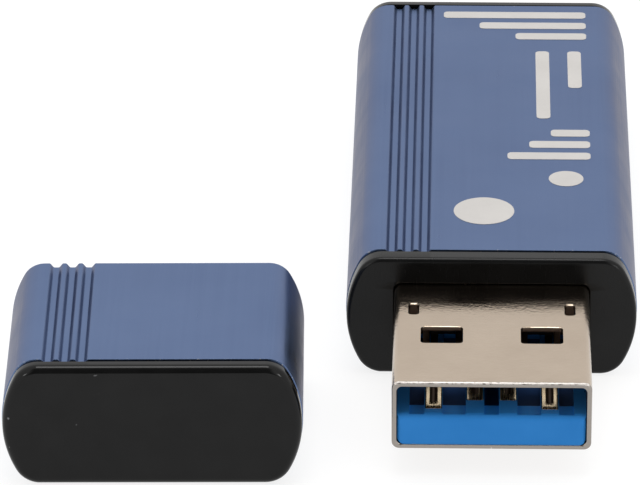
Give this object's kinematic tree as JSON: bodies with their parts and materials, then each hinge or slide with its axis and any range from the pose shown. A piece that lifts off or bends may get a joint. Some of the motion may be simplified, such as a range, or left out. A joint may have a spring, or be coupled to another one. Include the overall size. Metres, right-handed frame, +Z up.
{
  "type": "usb flash drive",
  "caption": "Memory stick in a grooved aluminium sleeve with a steel USB plug, black moulded ends and a loose pull-off cap lying beside it.",
  "frame": {"origin": "centre of the sleeve's flat underside, which is the face the drive rests on", "axes": "+Z up through the flat top; -Y the way the plug points; +X to the right when the plug points at the viewer. The loose cap lies on the -X side of the plug."},
  "size_m": [0.0386, 0.0539, 0.0081],
  "materials": {
    "anodised_blue": "blue anodised, fine satin",
    "gloss_black": "glossy black moulding",
    "liner_black": "matt black moulding",
    "carrier_white": "natural moulding",
    "plug_steel": "nickel-plated sheet, fine satin",
    "insulator_blue": "blue moulding",
    "contact_gold": "pale gold plating",
    "board_green": "solder mask over glass-fibre board",
    "chip_black": "moulded chip body",
    "tin": "tin plating and solder",
    "ferrite": "ferrite body",
    "ceramic": "sintered ceramic",
    "ink_grey": "light grey printing ink"
  },
  "bodies": {
    "drive": {"housing_sleeve": "anodised_blue", "front_collar": "gloss_black", "rear_end_piece": "gloss_black", "carrier_lower": "carrier_white", "carrier_upper": "carrier_white", "plug_shell": "plug_steel", "plug_tongue": "insulator_blue", "plug_spacer": "liner_black", "usb2_contact_1": "contact_gold", "usb2_contact_2": "contact_gold", "usb2_contact_3": "contact_gold", "usb2_contact_4": "contact_gold", "superspeed_contact_1": "contact_gold", "superspeed_contact_2": "contact_gold", "superspeed_contact_3": "contact_gold", "superspeed_contact_4": "contact_gold", "superspeed_contact_5": "contact_gold", "circuit_board": "board_green", "memory_chip": "chip_black", "memory_leads": "tin", "controller_chip": "chip_black", "crystal": "tin", "voltage_regulator": "chip_black", "regulator_leads": "tin", "inductor": "ferrite", "capacitors": "ceramic", "resistors": "chip_black", "passive_terminals": "tin", "solder_joints": "tin", "printed_marks": "ink_grey"},
    "cap": {"cap_sleeve": "anodised_blue", "cap_end": "gloss_black", "cap_liner": "liner_black"}
  },
  "joints": [
    {"name": "cap_pull", "type": "slide", "parent": "drive", "child": "cap", "axis": [0.0227, -0.9997, 0], "range_m": [-0.0009, 0.0125]}
  ]
}
